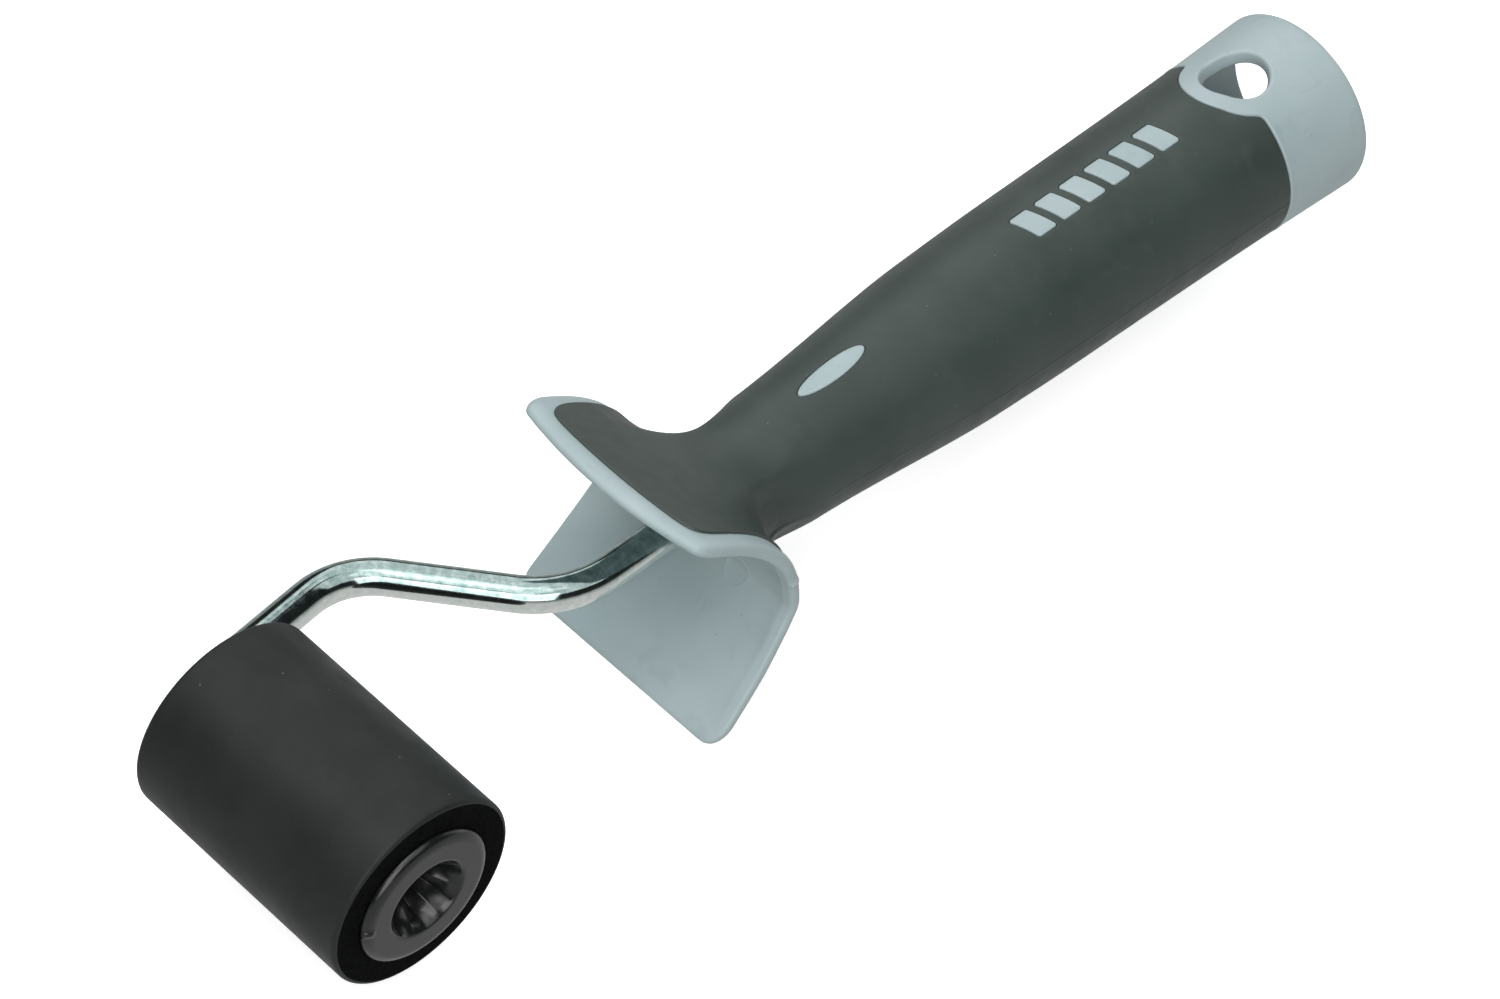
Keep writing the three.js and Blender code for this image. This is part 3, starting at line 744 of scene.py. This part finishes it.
def make_inner_cap():
    face = -SLEEVE_HALF
    flange, bore, skirt = CAP_FLANGE, WIRE_RADIUS + 0.8, CAP_SKIRT
    corners = [(face, bore, 0.3), (face, flange, 0.3), (face + 1.3, flange, 0), (face + 1.3, skirt, 0),
               (face + 7, skirt, 0.3), (face + 7, skirt - 1.4, 0.3), (face + 1.3, skirt - 1.4, 0.3),
               (face + 1.3, bore, 0.2)]
    points, faces = turned_x(rounded_loop(corners), 160)
    return add_mesh("inner_cap", points, faces, [CAP], "roller", ["inner_end_cap"])


# ---- Wire

def wire_route():
    """Points along the wire's centreline."""
    route = [np.array([ROLLER_X + AXLE_END, 0.0])]
    corners = [np.array(at) for at, _ in WIRE_CORNERS] + [np.array([0.0, WIRE_TANG])]
    here = route[0]
    for i, (at, tangent) in enumerate(WIRE_CORNERS):
        at = np.array(at)
        into = (at - here) / np.linalg.norm(at - here)
        out = corners[i + 1] - at
        out = out / np.linalg.norm(out)
        start, end = at - into * tangent, at + out * tangent
        half = math.acos(float(into @ out)) / 2
        pull = tangent * (4 / 3) * math.tan(half / 2) / math.tan(half)
        first, second = start + into * pull, end - out * pull
        for t in np.linspace(0, 1, 25):
            u = 1 - t
            route.append(u**3 * start + 3 * u * u * t * first + 3 * u * t * t * second + t**3 * end)
        here = end
    route.append(corners[-1])
    return subdivided_line(np.array(route), 1.0)


def subdivided_line(line, longest):
    out = []
    for here, after in zip(line[:-1], line[1:]):
        cuts = max(1, math.ceil(np.linalg.norm(after - here) / longest))
        out.extend(here + (after - here) * k / cuts for k in range(cuts))
    out.append(line[-1])
    return np.array(out)


def make_wire():
    route = wire_route()
    sides = 64
    along = np.gradient(route, axis=0)
    along /= np.linalg.norm(along, axis=1)[:, None]
    points, faces = [], []
    bevel = 0.6
    rings = [(route[0], along[0], WIRE_RADIUS - bevel), (route[0] + along[0] * bevel, along[0], WIRE_RADIUS)]
    rings += [(at, way, WIRE_RADIUS) for at, way in zip(route[1:], along[1:])]
    for at, way, radius in rings:
        across_way = np.array([way[1], -way[0]])
        for k in range(sides):
            turn = TAU * k / sides
            flat = at + across_way * radius * math.cos(turn)
            points.append((flat[0], flat[1], radius * math.sin(turn)))
    for i in range(len(rings) - 1):
        for k in range(sides):
            n = (k + 1) % sides
            faces.append((i * sides + k, i * sides + n, (i + 1) * sides + n, (i + 1) * sides + k))
    faces.append(tuple(range(sides))[::-1])
    faces.append(tuple(range((len(rings) - 1) * sides, len(rings) * sides)))
    return add_mesh("wire", points, faces, [ZINC], "handle", ["wire_frame"])


# ---- Materials

class Shader:
    """A small builder of node materials around one Principled shader."""

    def __init__(self, name, **sockets):
        self.material = bpy.data.materials.new(name)
        self.material.use_nodes = True
        self.tree = self.material.node_tree
        self.surface = self.tree.nodes["Principled BSDF"]
        for socket, value in sockets.items():
            self.surface.inputs[socket.replace("_", " ")].default_value = value
        self.place = self.tree.nodes.new("ShaderNodeTexCoord").outputs["Object"]

    def node(self, kind, inputs=None, **settings):
        made = self.tree.nodes.new(kind)
        for key, value in settings.items():
            setattr(made, key, value)
        for key, value in (inputs or {}).items():
            if isinstance(value, bpy.types.NodeSocket):
                self.tree.links.new(value, made.inputs[key])
            else:
                made.inputs[key].default_value = value
        return made

    def noise(self, size_mm, detail=3.0, roughness=0.5, distortion=0.0):
        """Noise whose blotches are about this many millimetres wide."""
        made = self.node("ShaderNodeTexNoise", {
            "Vector": self.place, "Scale": 1 / (size_mm * MM), "Detail": detail,
            "Roughness": roughness, "Distortion": distortion})
        return made.outputs["Fac"]

    def ramp(self, factor, stops):
        made = self.node("ShaderNodeValToRGB", {"Fac": factor})
        ramp = made.color_ramp
        while len(ramp.elements) < len(stops):
            ramp.elements.new(0.5)
        for element, (place, colour) in zip(ramp.elements, stops):
            element.position = place
            element.color = (*colour, 1) if len(colour) == 3 else colour
        return made.outputs["Color"]

    def mix(self, factor, a, b, mode="MIX"):
        made = self.node("ShaderNodeMix", data_type="RGBA", blend_type=mode)
        for key, value in ((0, factor), (6, a), (7, b)):
            if isinstance(value, bpy.types.NodeSocket):
                self.tree.links.new(value, made.inputs[key])
            else:
                made.inputs[key].default_value = value if key == 0 else (*value, 1)
        return made.outputs[2]

    def map(self, value, low, high, to_low, to_high):
        made = self.node("ShaderNodeMapRange", {
            "Value": value, "From Min": low, "From Max": high, "To Min": to_low, "To Max": to_high})
        return made.outputs["Result"]

    def bump(self, height, distance_mm, strength):
        made = self.node("ShaderNodeBump", {
            "Height": height, "Distance": distance_mm * MM, "Strength": strength})
        return made.outputs["Normal"]

    def set(self, **links):
        for socket, value in links.items():
            self.tree.links.new(value, self.surface.inputs[socket.replace("_", " ")])
        return self.material


def specks(shader, size_mm, share):
    """1 in small scattered spots, 0 elsewhere."""
    cells = shader.node("ShaderNodeTexVoronoi", {
        "Vector": shader.place, "Scale": 1 / (size_mm * MM), "Randomness": 1.0})
    return shader.map(cells.outputs["Distance"], share, share * 0.6, 0.0, 1.0)


def grey_plastic():
    s = Shader("grey_plastic", Roughness=0.42, Specular_IOR_Level=0.45)
    broad = s.noise(14, 2)
    fine = s.noise(1.4, 4, 0.6)
    base = s.ramp(broad, [(0.3, (0.34, 0.43, 0.445)), (0.7, (0.39, 0.475, 0.49))])
    grime = s.map(s.noise(6, 6, 0.7, distortion=0.6), 0.56, 0.76, 0.0, 0.34)
    tinted = s.mix(grime, base, (0.20, 0.25, 0.28))
    spot = specks(s, 3.4, 0.055)
    spotted = s.mix(s.map(spot, 0, 1, 0, 0.45), tinted, (0.14, 0.17, 0.20))
    # Painted shade: the plastic is darkened within about 22 mm of where the wire enters the guard, standing
    # for the shadow of the wire and handle; the result mixes this shade with the grime and specks.
    wire_entry = (ORIGIN + np.array([-4, 72, -9]) * MM).tolist()
    away = s.node("ShaderNodeVectorMath", {0: s.place, 1: wire_entry}, operation="DISTANCE").outputs["Value"]
    painted_shade_near_wire = s.map(away, 0.006, 0.022, 0.30, 0.0)
    grime_and_shade = s.mix(painted_shade_near_wire, spotted, (0.17, 0.25, 0.26))
    rough = s.map(fine, 0.3, 0.7, 0.36, 0.5)
    normal = s.bump(fine, 0.02, 0.35)
    return s.set(Base_Color=grime_and_shade, Roughness=rough, Normal=normal)


def soft_plastic():
    s = Shader("soft_touch", Roughness=0.62, Specular_IOR_Level=0.5)
    broad = s.noise(18, 2)
    base = s.ramp(broad, [(0.3, (0.029, 0.044, 0.039)), (0.7, (0.040, 0.057, 0.051))])
    lint = specks(s, 3.1, 0.05)
    dusty = s.mix(s.map(lint, 0, 1, 0, 0.45), base, (0.20, 0.22, 0.21))
    bloom = s.map(s.noise(6, 5, 0.65), 0.55, 0.8, 0.0, 0.18)
    hazy = s.mix(bloom, dusty, (0.10, 0.12, 0.115))
    grain = s.noise(0.28, 2, 0.6)
    normal = s.bump(grain, 0.02, 0.5)
    rough = s.map(s.noise(3, 4), 0.3, 0.7, 0.44, 0.56)
    return s.set(Base_Color=hazy, Roughness=rough, Normal=normal)


def sleeve_rubber():
    s = Shader("sleeve_rubber", Roughness=0.6, Specular_IOR_Level=0.22)
    broad = s.noise(12, 3)
    base = s.ramp(broad, [(0.3, (0.0120, 0.0148, 0.0138)), (0.7, (0.0180, 0.0212, 0.0200))])
    lint = specks(s, 4.2, 0.045)
    dusty = s.mix(s.map(lint, 0, 1, 0, 0.5), base, (0.16, 0.18, 0.17))
    grain = s.noise(0.2, 3, 0.7)
    normal = s.bump(grain, 0.03, 0.5)
    rough = s.map(s.noise(4, 4), 0.3, 0.7, 0.42, 0.52)
    return s.set(Base_Color=dusty, Roughness=rough, Normal=normal)


def cut_rubber():
    s = Shader("cut_rubber", Roughness=0.9, Specular_IOR_Level=0.05)
    pores = s.noise(0.7, 5, 0.7)
    base = s.ramp(pores, [(0.35, (0.0012, 0.0013, 0.0016)), (0.75, (0.006, 0.0065, 0.007))])
    normal = s.bump(pores, 0.15, 0.8)
    return s.set(Base_Color=base, Normal=normal)


def cap_plastic():
    s = Shader("cap_plastic", Roughness=0.22, Specular_IOR_Level=0.55)
    base = s.ramp(s.noise(6, 3), [(0.3, (0.006, 0.0066, 0.0068)), (0.7, (0.010, 0.011, 0.011))])
    fine = s.noise(0.9, 4, 0.6)
    rough = s.map(fine, 0.3, 0.7, 0.16, 0.28)
    normal = s.bump(fine, 0.015, 0.4)
    return s.set(Base_Color=base, Roughness=rough, Normal=normal)


def zinc_plate():
    s = Shader("zinc_plate", Metallic=1.0, Roughness=0.2)
    mottle = s.noise(1.3, 5, 0.6)
    bright = s.ramp(mottle, [(0.3, (0.66, 0.73, 0.71)), (0.5, (0.76, 0.80, 0.77)),
                             (0.75, (0.86, 0.88, 0.84))])
    painted_dark_reflection = s.ramp(mottle, [(0.3, (0.17, 0.25, 0.24)), (0.5, (0.27, 0.35, 0.34)),
                           (0.75, (0.44, 0.52, 0.49))])
    # The plating is painted darker on the side that faces up: a painted dark reflection, not a property of
    # the plating.
    geometry = s.tree.nodes.new("ShaderNodeNewGeometry")
    facing = s.node("ShaderNodeSeparateXYZ", {0: geometry.outputs["Normal"]})
    base = s.mix(s.map(facing.outputs["Z"], 0.35, 0.60, 0, 1), bright, painted_dark_reflection)
    rough = s.map(s.noise(2.0, 5, 0.6), 0.35, 0.7, 0.06, 0.15)
    normal = s.bump(s.noise(0.8, 3, 0.5), 0.012, 0.3)
    return s.set(Base_Color=base, Roughness=rough, Normal=normal)


def dark_steel():
    s = Shader("dark_steel", Metallic=1.0, Roughness=0.35)
    base = s.ramp(s.noise(1.5, 4), [(0.3, (0.20, 0.21, 0.22)), (0.7, (0.30, 0.31, 0.32))])
    return s.set(Base_Color=base, Roughness=s.map(s.noise(0.8, 4), 0.3, 0.7, 0.28, 0.42))


def plain_plastic(name, dark, light, roughness):
    s = Shader(name, Roughness=roughness)
    base = s.ramp(s.noise(4, 3), [(0.3, dark), (0.7, light)])
    return s.set(Base_Color=base, Normal=s.bump(s.noise(0.6, 3), 0.02, 0.3))


GREY = grey_plastic()
SOFT = soft_plastic()
RUBBER = sleeve_rubber()
RUBBER_CUT = cut_rubber()
CAP = cap_plastic()
ZINC = zinc_plate()
STEEL = dark_steel()
TUBE = plain_plastic("tube_plastic", (0.24, 0.26, 0.27), (0.29, 0.31, 0.32), 0.5)
ACETAL = plain_plastic("acetal", (0.70, 0.70, 0.64), (0.78, 0.78, 0.73), 0.35)

for node, material in {"core_tube": TUBE, "outer_bush": ACETAL, "inner_bush": ACETAL,
                       "axle_retaining_ring": STEEL, "stop_collar": STEEL}.items():
    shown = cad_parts[node]
    shown.data.materials.clear()
    shown.data.materials.append(material)

# ---- The pieces

make_guard()
make_grip()
make_core()
make_sleeve()
make_outer_cap()
make_inner_cap()
make_wire()


# ---- Floor, light and camera

def make_floor():
    mesh = bpy.data.meshes.new("floor")
    far = 6.0
    mesh.from_pydata([(-far, -far, 0), (far, -far, 0), (far, far, 0), (-far, far, 0)], [], [(0, 1, 2, 3)])
    s = Shader("floor", Roughness=0.9, Specular_IOR_Level=0.1, Emission_Strength=0.62)
    s.surface.inputs["Emission Color"].default_value = (1, 1, 1, 1)
    s.surface.inputs["Base Color"].default_value = (0.86, 0.86, 0.86, 1)
    mesh.materials.append(s.material)
    floor = bpy.data.objects.new("floor", mesh)
    floor.visible_diffuse = False  # the world's lower half stands for its bounce
    floor.visible_glossy = False
    bpy.context.scene.collection.objects.link(floor)


def softbox(name, way, size, power, target):
    light = bpy.data.lights.new(name, "AREA")
    light.shape = "RECTANGLE"
    light.size = light.size_y = size
    light.energy = power
    lamp = bpy.data.objects.new(name, light)
    way = Vector(way).normalized()
    lamp.location = Vector(target) + way * LAMP_DISTANCE
    lamp.rotation_euler = way.to_track_quat("Z", "Y").to_euler()
    bpy.context.scene.collection.objects.link(lamp)


def make_world():
    world = bpy.data.worlds.new("studio")
    world.use_nodes = True
    tree = world.node_tree
    background = tree.nodes["Background"]
    place = tree.nodes.new("ShaderNodeTexCoord")
    apart = tree.nodes.new("ShaderNodeSeparateXYZ")
    ramp = tree.nodes.new("ShaderNodeValToRGB")
    tree.links.new(place.outputs["Generated"], apart.inputs[0])
    height = tree.nodes.new("ShaderNodeMapRange")
    height.inputs["From Min"].default_value = -1.0
    tree.links.new(apart.outputs["Z"], height.inputs["Value"])
    tree.links.new(height.outputs["Result"], ramp.inputs["Fac"])
    tree.links.new(ramp.outputs["Color"], background.inputs["Color"])
    while len(ramp.color_ramp.elements) < len(WORLD_STOPS):
        ramp.color_ramp.elements.new(0.5)
    for element, (place_z, value) in zip(ramp.color_ramp.elements, WORLD_STOPS):
        element.position = place_z
        element.color = (value, value * 1.005, value, 1)
    background.inputs["Strength"].default_value = 1.0
    bpy.context.scene.world = world


def camera_axes():
    """Columns: the tool's X, Y and Z axes as the camera sees them (right, down, forward)."""
    x = np.array(VIEW_X)
    x /= np.linalg.norm(x)
    k = 1 / math.sqrt(1 + VIEW_TILT**2)
    y = np.array([VIEW_Y[0] * k, VIEW_Y[1] * k, VIEW_TILT * k])
    y -= x * (x @ y)
    y /= np.linalg.norm(y)
    return np.stack([x, y, np.cross(x, y)], 1)


def add_camera():
    """A long lens about 0.93 m from the roller."""
    seen = camera_axes()
    stand = -seen.T @ np.array(ROLLER_IN_VIEW) * MM + axle
    camera = bpy.data.cameras.new("camera")
    camera.sensor_width = 36.0
    camera.lens = LENS
    camera.clip_end = 50
    eye = bpy.data.objects.new("camera", camera)
    right, down, forward = (Vector(row) for row in seen)
    turn = Matrix((right, -down, -forward)).transposed().to_4x4()
    eye.matrix_world = Matrix.Translation(Vector(stand)) @ turn
    bpy.context.scene.collection.objects.link(eye)
    bpy.context.scene.camera = eye


make_floor()
make_world()
middle = (ORIGIN + np.array([0, 100, 0]) * MM).tolist()
for name, way, size, power in LAMPS:
    softbox(name, way, size, power, middle)
add_camera()
bpy.context.scene.view_settings.view_transform = "Standard"
